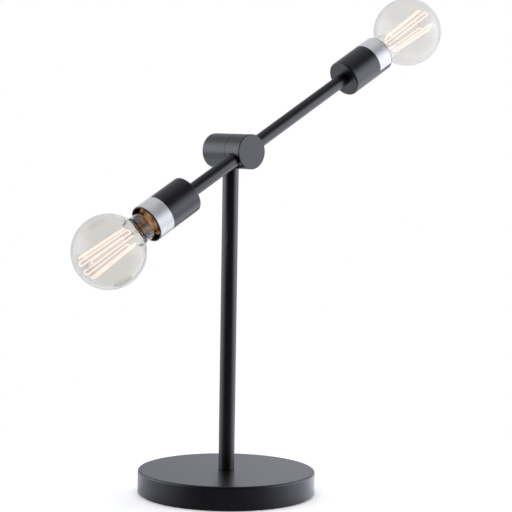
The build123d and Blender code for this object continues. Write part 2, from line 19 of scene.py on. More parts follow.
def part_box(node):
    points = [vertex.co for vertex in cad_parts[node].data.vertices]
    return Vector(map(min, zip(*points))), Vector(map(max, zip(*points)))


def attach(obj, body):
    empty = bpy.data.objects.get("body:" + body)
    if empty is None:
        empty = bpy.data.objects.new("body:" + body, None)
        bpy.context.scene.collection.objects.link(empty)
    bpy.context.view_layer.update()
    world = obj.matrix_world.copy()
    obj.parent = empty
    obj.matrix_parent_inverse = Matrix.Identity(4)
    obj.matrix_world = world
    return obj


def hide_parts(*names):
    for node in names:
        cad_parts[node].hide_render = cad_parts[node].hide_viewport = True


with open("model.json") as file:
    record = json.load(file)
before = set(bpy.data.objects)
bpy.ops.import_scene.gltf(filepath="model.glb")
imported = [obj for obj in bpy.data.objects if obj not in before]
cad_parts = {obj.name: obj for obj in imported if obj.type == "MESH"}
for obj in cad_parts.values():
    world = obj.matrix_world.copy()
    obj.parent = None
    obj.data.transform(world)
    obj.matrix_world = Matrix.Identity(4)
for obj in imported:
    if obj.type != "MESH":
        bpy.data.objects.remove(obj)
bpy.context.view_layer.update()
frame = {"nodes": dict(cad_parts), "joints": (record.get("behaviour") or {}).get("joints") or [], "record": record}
log = logging.getLogger("lamp")

MM = 0.001
POLE = 1e-4  # a radius below this closes a mesh
HOLD = (0.4, 0.05)  # how far off a rounding its held points are: a share of it, and an extra
NOISE_RANGE = (0.3, 0.7)  # what a noise texture mostly gives

Tree = bpy.types.NodeTree
Socket = bpy.types.NodeSocket
Point = tuple[float, float]  # a place along an axis and a radius off it
Fade = tuple[float, float, float, float]  # start, end, value at the start, value at the end
Change = tuple[Socket, float | Socket, float | Socket, float, float]  # a value and its fade


class Side(Enum):
    """The two ends of the arm. The value is the ending of the CAD nodes' names."""

    LEFT = "left"
    RIGHT = "right"


# Geometry


@dataclass(frozen=True)
class Spine:
    """A straight axis that round pieces are turned about: local Z, with local X to the front.

    Attributes:
        start: The axis's origin, in metres.
        direction: The way that local Z points.
    """

    start: Vector
    direction: Vector

    def placement(self) -> Matrix:
        """Works out where the axis's own space lies.

        Returns:
            The matrix that takes local millimetres to the lamp's frame in metres.
        """
        along = self.direction.normalized()
        front = Vector((0.0, -1.0, 0.0))
        front = (front - along * front.dot(along)).normalized()
        turned = Matrix((front, along.cross(front), along)).transposed().to_4x4()
        return Matrix.Translation(self.start) @ turned @ Matrix.Scale(MM, 4)

    def span(self, node: str) -> tuple[float, float, float]:
        """Measures a CAD node along this axis.

        Args:
            node: The node's name.

        Returns:
            Its lowest and highest place along the axis and its largest radius, in millimetres.
        """
        back = self.placement().inverted()
        local = [back @ vertex.co for vertex in frame["nodes"][node].data.vertices]
        places = [point.z for point in local]
        return min(places), max(places), max(math.hypot(p.x, p.y) for p in local)

    def shifted(self, distance: float) -> "Spine":
        """The same axis with its origin moved along it by a distance in millimetres."""
        return Spine(self.start + self.direction.normalized() * distance * MM, self.direction)


@dataclass(frozen=True)
class Corner:
    """A corner of a turned outline.

    Attributes:
        place: Distance along the axis.
        radius: Distance off the axis.
        rounding: Radius that the corner is rounded to.
    """

    place: float
    radius: float
    rounding: float = 0.0


def trace(corners: list[Corner], closed: bool = False, steps: int = 6) -> list[Point]:
    """Rounds an outline's corners and holds the straight runs beside them, for even shading.

    Args:
        corners: The outline's corners in order.
        closed: Whether the last corner joins the first.
        steps: Faces in each rounding.

    Returns:
        The outline's points.
    """
    points: list[Point] = []
    count = len(corners)
    for index, corner in enumerate(corners):
        here = Vector((corner.place, corner.radius))
        is_end = not closed and index in (0, count - 1)
        if corner.rounding <= 0.0 or is_end:
            points.append(tuple(here))
            continue
        before, after = corners[index - 1], corners[(index + 1) % count]
        back = Vector((before.place, before.radius)) - here
        ahead = Vector((after.place, after.radius)) - here
        half = back.angle(ahead) / 2
        reach = corner.rounding / math.tan(half)
        hold = HOLD[0] * corner.rounding + HOLD[1]
        centre = here + (back.normalized() + ahead.normalized()).normalized() * (
            corner.rounding / math.sin(half)
        )
        start = here + back.normalized() * reach - centre
        sweep = start.angle_signed(here + ahead.normalized() * reach - centre)
        if back.length > reach + 2 * hold:
            points.append(tuple(here + back.normalized() * (reach + hold)))
        for step in range(steps + 1):
            angle = -sweep * step / steps
            spoke = Matrix.Rotation(angle, 2) @ start
            points.append(tuple(centre + spoke))
        if ahead.length > reach + 2 * hold:
            points.append(tuple(here + ahead.normalized() * (reach + hold)))
    return points


def arc(centre: Point, radius: float, first: float, last: float, steps: int) -> list[Point]:
    """Divides an arc of an outline.

    Args:
        centre: The arc's centre.
        radius: The arc's own radius.
        first: Starting angle in degrees, from the axis's direction.
        last: Final angle in degrees.
        steps: Faces along the arc.

    Returns:
        The arc's points, both ends included.
    """
    angles = [math.radians(first + (last - first) * k / steps) for k in range(steps + 1)]
    return [
        (centre[0] + radius * math.cos(a), max(centre[1] + radius * math.sin(a), 0.0))
        for a in angles
    ]


def divided(points: list[Point], step: float) -> list[Point]:
    """Splits an outline's long runs, so that a recipe can shape them.

    Args:
        points: The outline.
        step: The longest run left.

    Returns:
        The outline with the added points.
    """
    result = [points[0]]
    for here, there in zip(points, points[1:]):
        parts = max(1, math.ceil(math.dist(here, there) / step))
        for k in range(1, parts + 1):
            share = k / parts
            result.append(
                (here[0] + (there[0] - here[0]) * share, here[1] + (there[1] - here[1]) * share)
            )
    return result


def turned(
    name: str, points: list[Point], closed: bool = False, segments: int = 96
) -> bpy.types.Object:
    """Turns an outline about local Z into a mesh with outward faces, smooth between sharp edges.

    Args:
        name: The object's name.
        points: The outline. A radius of nothing closes the mesh at a pole.
        closed: Whether the last point joins the first, as on a ring.
        segments: Faces round the axis.

    Returns:
        The new object, still in local millimetres.
    """
    shape = bmesh.new()
    rings = []
    for place, radius in points:
        if radius < POLE:
            rings.append([shape.verts.new((0.0, 0.0, place))])
            continue
        angles = [math.tau * k / segments for k in range(segments)]
        rings.append(
            [shape.verts.new((radius * math.cos(a), radius * math.sin(a), place)) for a in angles]
        )
    pairs = list(zip(rings, rings[1:]))
    if closed:
        pairs.append((rings[-1], rings[0]))
    for low, high in pairs:
        for k in range(segments):
            turn = [(low, k), (high, k), (high, k + 1), (low, k + 1)]
            corners = [ring[place % segments % len(ring)] for ring, place in turn]
            shape.faces.new(list(dict.fromkeys(corners)))
    return finished(name, shape)


def finished(name: str, shape: bmesh.types.BMesh, sharp: float = 32.0) -> bpy.types.Object:
    """Turns a working mesh into an object with outward normals and smooth shading.

    Args:
        name: The object's name.
        shape: The working mesh, which is freed.
        sharp: Edges that turn by more than this many degrees stay sharp.

    Returns:
        The new object.
    """
    bmesh.ops.recalc_face_normals(shape, faces=shape.faces)
    for face in shape.faces:
        face.smooth = True
    for edge in shape.edges:
        edge.smooth = edge.calc_face_angle(0.0) < math.radians(sharp)
    mesh = bpy.data.meshes.new(name)
    shape.to_mesh(mesh)
    shape.free()
    made = bpy.data.objects.new(name, mesh)
    bpy.context.scene.collection.objects.link(made)
    return made


def smooth_copy(
    node: str, name: str, merge: float = 0.002, sliver: float = 0.001, sharp: float = 25.0
) -> bpy.types.Object:
    """Copies a CAD node, joins its loose triangles and shades it smooth between sharp edges.

    Args:
        node: The CAD node's name.
        name: The copy's name.
        merge: Corners nearer than this are joined, in millimetres.
        sliver: Edges shorter than this are taken out, in millimetres.
        sharp: Edges that turn by more than this many degrees stay sharp.

    Returns:
        The copy, which lies where the node does.
    """
    shape = bmesh.new()
    shape.from_mesh(frame["nodes"][node].data)
    bmesh.ops.remove_doubles(shape, verts=shape.verts, dist=merge * MM)
    bmesh.ops.dissolve_degenerate(shape, edges=shape.edges, dist=sliver * MM)
    return finished(name, shape, sharp)


def baked(made: bpy.types.Object) -> bpy.types.Object:
    """Turns an object and its modifiers into a plain mesh.

    Args:
        made: The object, which keeps its name and loses its modifiers.

    Returns:
        The same object.
    """
    graph = bpy.context.evaluated_depsgraph_get()
    graph.update()
    mesh = bpy.data.meshes.new_from_object(made.evaluated_get(graph), depsgraph=graph)
    made.modifiers.clear()
    made.data = mesh
    return made


# Nodes


def add_node(
    tree: Tree,
    kind: str,
    settings: dict[str, Any] | None = None,
    inputs: dict[str | int, Any] | None = None,
) -> bpy.types.Node:
    """Adds a node, sets its properties, and fills or links its inputs.

    Args:
        tree: The node tree.
        kind: The node's type.
        settings: Property names and values.
        inputs: Input names or indices, with values or output sockets.

    Returns:
        The new node.
    """
    made = tree.nodes.new(kind)
    for name, value in (settings or {}).items():
        setattr(made, name, value)
    for key, value in (inputs or {}).items():
        if isinstance(value, Socket):
            tree.links.new(value, made.inputs[key])
        else:
            made.inputs[key].default_value = value
    return made


def colour(code: str) -> tuple[float, float, float, float]:
    """Turns an sRGB colour to linear light.

    Args:
        code: The colour as #RRGGBB.

    Returns:
        Red, green, blue and full alpha.
    """
    parts = [int(code[k : k + 2], 16) / 255 for k in (1, 3, 5)]
    linear = [p / 12.92 if p <= 0.04045 else ((p + 0.055) / 1.055) ** 2.4 for p in parts]
    return (*linear, 1.0)


def seen_directly(tree: Tree) -> Socket:
    """Tells the camera's own rays from reflections and bounced light.

    Args:
        tree: The node tree.

    Returns:
        One for rays from the camera, also through glass, and nothing for all others.
    """
    rays = add_node(tree, "ShaderNodeLightPath").outputs
    return add_node(
        tree,
        "ShaderNodeMath",
        {"operation": "MAXIMUM"},
        {0: rays["Is Camera Ray"], 1: rays["Is Transmission Ray"]},
    ).outputs[0]


def layered(tree: Tree, layers: list[list[Change]]) -> Socket:
    """Adds up layers, each of them the product of smooth changes.

    Args:
        tree: The node tree.
        layers: Each layer's changes. A change is the value that it goes by, where it starts and
            ends, and the factor at its start and its end.

    Returns:
        The sum's socket.
    """
    total = None
    for layer in layers:
        product = None
        for change in layer:
            limits = dict(zip(("Value", "From Min", "From Max", "To Min", "To Max"), change))
            smooth = {"interpolation_type": "SMOOTHSTEP"}
            factor = add_node(tree, "ShaderNodeMapRange", smooth, limits).outputs[0]
            if product is not None:
                both = {0: product, 1: factor}
                times = {"operation": "MULTIPLY"}
                factor = add_node(tree, "ShaderNodeMath", times, both).outputs[0]
            product = factor
        if total is not None:
            product = add_node(tree, "ShaderNodeMath", inputs={0: total, 1: product}).outputs[0]
        total = product
    return total


def pattern(tree: Tree, size: float, detail: float) -> Socket:
    """Adds a noise pattern of a real size on the object's own coordinates.

    Args:
        tree: The material's node tree.
        size: The pattern's size, in millimetres.
        detail: Octaves of finer noise in it.

    Returns:
        The pattern's socket.
    """
    place = add_node(tree, "ShaderNodeTexCoord").outputs["Object"]
    noise = {"Vector": place, "Scale": 1.0 / (size * MM), "Detail": detail}
    return add_node(tree, "ShaderNodeTexNoise", inputs=noise).outputs["Fac"]


class Recipe:
    """A Geometry Nodes tree with named inputs, which can be run on an object."""

    def __init__(self, name: str, sizes: dict[str, float | int]) -> None:
        """Starts the tree.

        Args:
            name: The tree's name.
            sizes: Input names with the values that they get. Whole numbers make integer inputs.
        """
        self.sizes = sizes
        self.tree = bpy.data.node_groups.new(name, "GeometryNodeTree")
        sockets = self.tree.interface
        sockets.new_socket("Geometry", in_out="INPUT", socket_type="NodeSocketGeometry")
        self.keys: dict[str, str] = {}
        for label, value in sizes.items():
            kind = "NodeSocketInt" if isinstance(value, int) else "NodeSocketFloat"
            made = sockets.new_socket(label, in_out="INPUT", socket_type=kind)
            self.keys[label] = made.identifier
        sockets.new_socket("Geometry", in_out="OUTPUT", socket_type="NodeSocketGeometry")
        self.source = self.tree.nodes.new("NodeGroupInput")

    def size(self, label: str) -> Socket:
        """The socket of a named input."""
        return self.source.outputs[label]

    def work_out(
        self, sums: dict[str, tuple[Any, ...]], sources: dict[str, Socket]
    ) -> dict[str, Socket]:
        """Adds a Math node for each sum, in order.

        Args:
            sums: Names, each with an operation and its terms. A term is a number or the name of
                an input, of a source or of an earlier sum.
            sources: Other sockets that the sums start from.

        Returns:
            The sockets of the inputs, the sources and the sums, by name.
        """
        values = {label: self.size(label) for label in self.sizes} | sources
        for name, (operation, *terms) in sums.items():
            inputs = {place: values.get(term, term) for place, term in enumerate(terms)}
            made = add_node(self.tree, "ShaderNodeMath", {"operation": operation}, inputs)
            values[name] = made.outputs[0]
        return values

    def close(self, geometry: Socket, material: bpy.types.Material) -> None:
        """Ends the tree with real geometry in one material.

        Args:
            geometry: The socket of the finished geometry.
            material: Its material.
        """
        real = add_node(self.tree, "GeometryNodeRealizeInstances", inputs={"Geometry": geometry})
        dressed = add_node(
            self.tree,
            "GeometryNodeSetMaterial",
            inputs={"Geometry": real.outputs[0], "Material": material},
        )
        add_node(self.tree, "NodeGroupOutput", inputs={0: dressed.outputs[0]})

    def run(self, made: bpy.types.Object) -> bpy.types.Object:
        """Runs the tree on an object and keeps the result as a plain mesh.

        Args:
            made: The object.

        Returns:
            The same object with its new mesh.
        """
        modifier = made.modifiers.new(self.tree.name, "NODES")
        modifier.node_group = self.tree
        for label, value in self.sizes.items():
            modifier[self.keys[label]] = value
        return baked(made)


# Finishes


@dataclass(frozen=True)
class Finish:
    """A finish with a name. Each kind adds its own surface.

    Attributes:
        name: The material's name.
    """

    name: str

    def material(self) -> bpy.types.Material:
        """Makes the finish's material, the first time that it is asked for.

        Returns:
            The material.
        """
        made = bpy.data.materials.get(self.name)
        if made is None:
            made = bpy.data.materials.new(self.name)
            made.use_nodes = True
            made.node_tree.nodes.clear()
            shader = self.surface(made.node_tree)
            add_node(made.node_tree, "ShaderNodeOutputMaterial", inputs={"Surface": shader})
        return made

    def surface(self, tree: Tree) -> Socket:
        """Adds the finish's shader to a tree and returns its output."""
        raise NotImplementedError

    def dress(self, made: bpy.types.Object) -> None:
        """Gives an object this finish in all its slots."""
        made.data.materials.clear()
        made.data.materials.append(self.material())


@dataclass(frozen=True)
class CoatedFinish(Finish):
    """An opaque finish: two close tones, grain in the gloss and a fine relief.

    Attributes:
        dark: Colour of the darker tone.
        light: Colour of the lighter tone.
        patch: Size of the patches of tone, in millimetres.
        grain: Size of the relief's grain, in millimetres.
        relief: Height of the relief, in millimetres.
        roughness: Lowest and highest roughness.
        metallic: Nothing for paint and plastic, one for bare metal.
        specular: Strength of the gloss on paint and plastic.
    """

    dark: str
    light: str
    patch: float
    grain: float
    relief: float
    roughness: tuple[float, float]
    metallic: float = 0.0
    specular: float = 0.5

    def surface(self, tree: Tree) -> Socket:
        """Adds the tone, gloss and relief.

        Args:
            tree: The material's node tree.

        Returns:
            The shader's output.
        """
        patches = pattern(tree, self.patch, 3.0)
        tone = add_node(
            tree,
            "ShaderNodeMix",
            {"data_type": "RGBA"},
            {0: patches, 6: colour(self.dark), 7: colour(self.light)},
        )
        grain = pattern(tree, self.grain, 2.0)
        gloss = add_node(
            tree,
            "ShaderNodeMapRange",
            inputs={
                "Value": grain,
                "From Min": NOISE_RANGE[0],
                "From Max": NOISE_RANGE[1],
                "To Min": self.roughness[0],
                "To Max": self.roughness[1],
            },
        )
        relief = add_node(
            tree,
            "ShaderNodeBump",
            inputs={"Height": grain, "Distance": self.relief * MM, "Strength": 1.0},
        )
        shader = add_node(
            tree,
            "ShaderNodeBsdfPrincipled",
            inputs={
                "Base Color": tone.outputs[2],
                "Roughness": gloss.outputs[0],
                "Metallic": self.metallic,
                "Specular IOR Level": self.specular,
                "Normal": relief.outputs[0],
            },
        )
        return shader.outputs[0]


@dataclass(frozen=True)
class BlownGlass(Finish):
    """Glass: clear, with faint waves where the wall thins and thickens.

    Attributes:
        tint: Colour that is left of white light after one wall.
        wave: Length of the waves, in millimetres.
        relief: Height of the waves, in millimetres.
        ior: Index of refraction.
    """

    tint: str
    wave: float
    relief: float
    ior: float = 1.5

    def surface(self, tree: Tree) -> Socket:
        """Adds the glass and its waves.

        Args:
            tree: The material's node tree.

        Returns:
            The shader's output.
        """
        waves = pattern(tree, self.wave, 1.0)
        relief = add_node(
            tree,
            "ShaderNodeBump",
            inputs={"Height": waves, "Distance": self.relief * MM, "Strength": 1.0},
        )
        shader = add_node(
            tree,
            "ShaderNodeBsdfPrincipled",
            inputs={
                "Base Color": colour(self.tint),
                "Roughness": 0.0,
                "IOR": self.ior,
                "Transmission Weight": 1.0,
                "Normal": relief.outputs[0],
            },
        )
        return shader.outputs[0]


@dataclass(frozen=True)
class GlowingWire(Finish):
    """Glowing wire, a little hotter in patches along it.

    Attributes:
        carbon: Colour of the wire itself.
        cool: Colour of the light from its cooler patches.
        hot: Colour of the light from its hotter patches.
        patch: Size of the patches, in millimetres.
        strength: Strength of the light, with 1 for white in the picture.
        roughness: Roughness of the wire itself.
    """

    carbon: str
    cool: str
    hot: str
    patch: float
    strength: float
    roughness: float = 0.6

    def surface(self, tree: Tree) -> Socket:
        """Adds the glow.

        Args:
            tree: The material's node tree.

        Returns:
            The shader's output.
        """
        patches = pattern(tree, self.patch, 1.0)
        heat = add_node(
            tree,
            "ShaderNodeMix",
            {"data_type": "RGBA"},
            {0: patches, 6: colour(self.cool), 7: colour(self.hot)},
        )
        shader = add_node(
            tree,
            "ShaderNodeBsdfPrincipled",
            inputs={
                "Base Color": colour(self.carbon),
                "Roughness": self.roughness,
                "Emission Color": heat.outputs[2],
                "Emission Strength": self.strength,
            },
        )
        return shader.outputs[0]


# Patch, grain and relief follow the colours in this order, as real sizes in millimetres. Grain
# that is too fine to show in the render is drawn coarser, and its comment says so.

# Satin powder coat, sprayed and baked: near black, fine orange peel that softens highlights
POWDER_COAT = CoatedFinish(
    "satin_black_powder_coat", "#070708", "#0B0B0D", 24.0, 1.1, 0.01, (0.27, 0.35), specular=0.8
)
# Grey cast iron, unpainted: dark, sandy skin from the mould. Sand of 0.3 mm is drawn as 1.4 mm
# lumps
CAST_IRON = CoatedFinish(
    "grey_cast_iron", "#2A2A2A", "#3D3B39", 6.0, 1.4, 0.12, (0.7, 0.85), 0.4
)
# Neoprene sheet: matte, slightly dusty. The dust's 0.1 mm grain is drawn as 0.7 mm
FOOT_RUBBER = CoatedFinish("neoprene_sheet", "#17171A", "#222224", 14.0, 0.7, 0.03, (0.8, 0.92))
# Moulded nylon: black, faint flow marks. The mould's 0.1 mm grain is drawn as 0.6 mm
BLACK_NYLON = CoatedFinish(
    "moulded_black_nylon", "#0F0F10", "#18181A", 9.0, 0.6, 0.01, (0.4, 0.52)
)
# Glass-filled polyester, moulded: black with a satin skin. Fibre ends of 0.1 mm are drawn as
# 0.5 mm
BLACK_POLYESTER = CoatedFinish(
    "moulded_black_polyester", "#0C0C0D", "#161617", 7.0, 0.5, 0.012, (0.38, 0.5)
)
# Zinc-plated steel: bluish grey with clouded passivation. Crystals of 0.02 mm are drawn as 0.35 mm
ZINC_PLATE = CoatedFinish(
    "zinc_plated_steel", "#8E9296", "#B4B2A6", 5.0, 0.35, 0.004, (0.3, 0.42), 1.0
)
# Hardened spring steel: darker, straw-tinted from tempering. The ground face's 0.05 mm grain is
# drawn as 0.3 mm
SPRING_STEEL = CoatedFinish(
    "tempered_spring_steel", "#4A4540", "#6B645A", 4.0, 0.3, 0.003, (0.28, 0.4), 1.0
)
# Natural nylon: ivory and waxy. The mould's 0.1 mm grain is drawn as 0.5 mm
NATURAL_NYLON = CoatedFinish("natural_nylon", "#CFC8B4", "#DDD7C6", 8.0, 0.5, 0.006, (0.45, 0.55))
# Extruded PVC insulation: smooth ivory. The die's 0.1 mm grain is drawn as 0.5 mm
PVC_SLEEVE = CoatedFinish(
    "extruded_pvc_sleeve", "#CFCBC0", "#DEDAD0", 10.0, 0.5, 0.004, (0.4, 0.5)
)
# Rolled brass of the bulb caps: warm yellow, dulled by handling. Scratches of 0.05 mm are drawn
# as 0.5 mm
ROLLED_BRASS = CoatedFinish(
    "rolled_cap_brass", "#DA8418", "#F4AC44", 3.0, 0.5, 0.006, (0.25, 0.4), 0.9
)
# Drawn brass of the screw shells: deeper, with the press's grease dried on. Scratches of 0.05 mm
# are drawn as 0.5 mm
DRAWN_BRASS = CoatedFinish(
    "drawn_shell_brass", "#D4841F", "#F0AE48", 3.0, 0.5, 0.006, (0.25, 0.4), 0.25
)
# Tin solder: pale and lumpy
TIN_SOLDER = CoatedFinish("tin_solder", "#A8A8A6", "#C8C8C6", 2.0, 0.8, 0.03, (0.3, 0.45), 1.0)
# Fused black glass of the cap's insulator: glossy, slightly wavy
BLACK_GLASS = CoatedFinish("fused_black_glass", "#0E0C10", "#1A1620", 4.0, 1.2, 0.02, (0.08, 0.16))
# Molybdenum wire: pale grey, drawn, oxidised matte near the hot filament. The die's 0.02 mm marks
# are drawn as 0.3 mm
MOLYBDENUM = CoatedFinish(
    "drawn_molybdenum", "#BDB8B0", "#D6D0C6", 2.0, 0.3, 0.002, (0.4, 0.5), 0.3
)
# Metallised polyester film, pressed round the cup by hand: silver, faintly creased
METALLISED_FILM = CoatedFinish(
    "metallised_polyester_film", "#C6C8C8", "#F0F0EE", 2.6, 1.3, 0.04, (0.3, 0.45), 0.6
)
# Clear soda-lime glass of the lower globe, tinted a shade darker as painted shade
CLEAR_GLASS = BlownGlass("clear_blown_glass", "#E9E8E5", 22.0, 0.01)
# The same glass of the raised globe, tinted a shade paler as painted light
GLASS_PAINTED_LIGHTER = BlownGlass("blown_glass_painted_lighter", "#EEEDEB", 22.0, 0.01)
# Lead glass of the stem: drawn clear, no waves to speak of
STEM_GLASS = BlownGlass("drawn_stem_glass", "#F7F8F6", 8.0, 0.004, 1.56)
# Carbonised filament, glowing, in patches between its supports
GLOW = GlowingWire("glowing_carbon_filament", "#2A211C", "#FFD8C2", "#FFEEEB", 7.0, 1.5)

CAD_FINISHES: dict[str, Finish] = {
    "black_steel": POWDER_COAT,
    "iron": CAST_IRON,
    "foot_pad": FOOT_RUBBER,
    "bushing_plastic": BLACK_NYLON,
    "zinc_steel": ZINC_PLATE,
    "spring_steel": SPRING_STEEL,
    "friction_plastic": NATURAL_NYLON,
    "lead_insulation": PVC_SLEEVE,
    "foil": METALLISED_FILM,
    "holder_plastic": BLACK_POLYESTER,
    "shell_brass": DRAWN_BRASS,
    "cap_brass": ROLLED_BRASS,
    "insulator_glass": BLACK_GLASS,
    "solder": TIN_SOLDER,
    "clear_glass": CLEAR_GLASS,
    "filament": GLOW,
    "support_wire": MOLYBDENUM,
}


# Sub-assemblies


def tube(span: tuple[float, float, float], wall: float, edges: Point) -> list[Point]:
    """Outlines a tube with its outer edges broken.

    Args:
        span: Its lowest and highest place and its radius.
        wall: Its wall's thickness.
        edges: Radius of the lower and the upper edge.

    Returns:
        The closed outline.
    """
    low, high, radius = span
    bore = radius - wall
    corners = [
        Corner(low, bore),
        Corner(low, radius, edges[0]),
        Corner(high, radius, edges[1]),
        Corner(high, bore),
    ]
    return trace(corners, closed=True)


def drawn_pot(
    bottom: float, mouth: float, radius: float, wall: float, hole: float, edges: Point
) -> list[Point]:
    """Outlines a pot drawn from sheet, with a hole in its bottom.

    Args:
        bottom: Where the outside of its bottom is. It may lie above the mouth.
        mouth: Where it opens.
        radius: Its outer radius.
        wall: The sheet's thickness.
        hole: Radius of the hole.
        edges: Outer radius of the bend round the bottom, and radius of the mouth's edges.

    Returns:
        The closed outline.
    """
    inner = radius - wall
    inside = bottom + math.copysign(wall, mouth - bottom)
    bend, lip = edges
    corners = [
        Corner(bottom, hole),
        Corner(bottom, radius, bend),
        Corner(mouth, radius, lip),
        Corner(mouth, inner, lip),
        Corner(inside, inner, bend - wall),
        Corner(inside, hole),
    ]
    return trace(corners, closed=True)


@dataclass(frozen=True)
class Thread:
    """A thread rolled into turned sheet.

    Attributes:
        depth: Height of its wave off the sheet.
        start: Plain part before it.
        end: Plain part after it.
        pitch: Its pitch.
        fade: Length over which it runs out at each end.
        step: The longest face left along the threaded wall.
    """

    depth: float
    start: float
    end: float = 0.3
    pitch: float = 3.629
    fade: float = 2.0
    step: float = 0.3

    def roll(
        self, name: str, sheet: list[Point], low: float, high: float, finish: Finish
    ) -> bpy.types.Object:
        """Turns a sheet and rolls the thread into it.

        Args:
            name: The object's name.
            sheet: The sheet's closed outline.
            low: Where the sheet starts.
            high: Where its plain wall ends.
            finish: Its finish.

        Returns:
            The threaded sheet.
        """
        piece = turned(name, divided(sheet, self.step), closed=True)
        sizes = {
            "Pitch": self.pitch,
            "Depth": self.depth,
            "Start": low + self.start,
            "End": high - self.end,
            "Fade": self.fade,
        }
        return thread_recipe(sizes, finish.material()).run(piece)


@dataclass
class SubAssembly:
    """Pieces that ride on one CAD body.

    Attributes:
        body: The CAD body's name.
        spine: The axis that its round pieces are turned about.
        made: The pieces made so far.
    """

    body: str
    spine: Spine
    made: list[bpy.types.Object] = field(default_factory=list, kw_only=True)

    def build(self) -> None:
        """Makes the pieces."""
        raise NotImplementedError

    def settle(
        self,
        piece: bpy.types.Object,
        finish: Finish,
        slot: str,
        node: str,
        in_place: bool = False,
    ) -> None:
        """Places and dresses a piece, hangs it on its body and hides its CAD node.

        Args:
            piece: The piece, in the spine's own millimetres unless it is in place.
            finish: Its finish.
            slot: The record's material slot. Not used.
            node: The CAD node that it stands for.
            in_place: Whether it already lies in the lamp's frame.
        """
        if not in_place:
            piece.data.transform(self.spine.placement())
        finish.dress(piece)
        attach(piece, self.body)
        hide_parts(node)
        self.made.append(piece)


@dataclass
class Base(SubAssembly):
    """The round base: a drawn cover, upside down, and the post that stands on it."""

    wall: float = 1.2
    top_rounding: float = 2.2
    rim_rounding: float = 0.5
    nipple_hole: float = 5.3
    cover_segments: int = 256
    post_wall: float = 1.2
    post_edges: Point = (0.3, 0.3)

    def build(self) -> None:
        """Makes the cover and the post."""
        low, high, radius = self.spine.span("base_shell")
        edges = (self.top_rounding, self.rim_rounding)
        cover = drawn_pot(high, low, radius, self.wall, self.nipple_hole, edges)
        piece = turned("base_cover", cover, closed=True, segments=self.cover_segments)
        self.settle(piece, POWDER_COAT, "black_steel", "base_shell")

        post = tube(self.spine.span("post"), self.post_wall, self.post_edges)
        self.settle(turned("post_tube", post, closed=True), POWDER_COAT, "black_steel", "post")


@dataclass
class Barrel(SubAssembly):
    """A piece of the pivot barrel, cross-drilled, so its skin follows the CAD solid.

    Attributes:
        node: The CAD node.
    """

    node: str = "pivot_body"

    def build(self) -> None:
        """Makes the skin of this piece."""
        piece = smooth_copy(self.node, f"{self.node}_skin")
        self.settle(piece, POWDER_COAT, "black_steel", self.node, in_place=True)


@dataclass
class SideAssembly(SubAssembly):
    """A sub-assembly that the lamp has on both sides.

    Attributes:
        side: Its side.
    """

    side: Side = Side.LEFT

    @property
    def label(self) -> str:
        """The side's name, which ends the names of nodes and pieces."""
        return self.side.value


@dataclass
class ArmEnd(SideAssembly):
    """One side of the arm: its tube, cup, screw shell and foil band."""

    tube_wall: float = 1.0
    tube_edges: Point = (0.3, 0.2)
    tube_segments: int = 80
    cup_wall: float = 1.2
    cup_rounding: float = 1.6
    mouth_rounding: float = 0.4
    cup_segments: int = 128
    nipple_hole: float = 5.3
    shell_hole: float = 7.0
    shell_radius: float = 13.7
    shell_wall: float = 0.25
    shell_bend: float = 0.8  # outer radius between the shell's wall and its bottom
    shell_inner_bend: float = 0.6
    shell_lip: float = 1.2  # height of the flared lip
    shell_flare: float = 2.8  # how far the lip stands out
    lip_bend: float = 0.3
    lip_inner_bend: float = 0.5
    thread: Thread = Thread(depth=0.28, start=2.5)

    def build(self) -> None:
        """Makes the four pieces."""
        steel = (POWDER_COAT, "black_steel")
        arm = tube(self.spine.span(f"arm_{self.label}"), self.tube_wall, self.tube_edges)
        piece = turned(f"arm_tube_{self.label}", arm, closed=True, segments=self.tube_segments)
        self.settle(piece, *steel, f"arm_{self.label}")

        low, high, radius = self.spine.span(f"cup_{self.label}")
        edges = (self.cup_rounding, self.mouth_rounding)
        cup = drawn_pot(low, high, radius, self.cup_wall, self.nipple_hole, edges)
        piece = turned(f"socket_cup_{self.label}", cup, closed=True, segments=self.cup_segments)
        self.settle(piece, *steel, f"cup_{self.label}")

        self.draw_shell()
        band = smooth_copy(f"foil_band_{self.label}", f"foil_{self.label}")
        self.settle(band, METALLISED_FILM, "foil", f"foil_band_{self.label}", in_place=True)

    def draw_shell(self) -> None:
        """Makes the brass screw shell with its thread and flared lip."""
        low, high, _ = self.spine.span(f"screw_shell_{self.label}")
        outer, wall = self.shell_radius, self.shell_wall
        inner = outer - wall
        lip = high - self.shell_lip
        flare = outer + self.shell_flare
        sheet = trace(
            [
                Corner(low, self.shell_hole),
                Corner(low, outer, self.shell_bend),
                Corner(lip + self.lip_bend, outer, self.lip_bend),
                Corner(high - wall, flare),
                Corner(high, flare),
                Corner(lip + self.lip_bend + wall, inner, self.lip_inner_bend),
                Corner(low + wall, inner, self.shell_inner_bend),
                Corner(low + wall, self.shell_hole),
            ],
            closed=True,
        )
        name = f"screw_shell_{self.label}_sheet"
        piece = self.thread.roll(name, sheet, low, lip, DRAWN_BRASS)
        self.settle(piece, DRAWN_BRASS, "shell_brass", f"screw_shell_{self.label}")


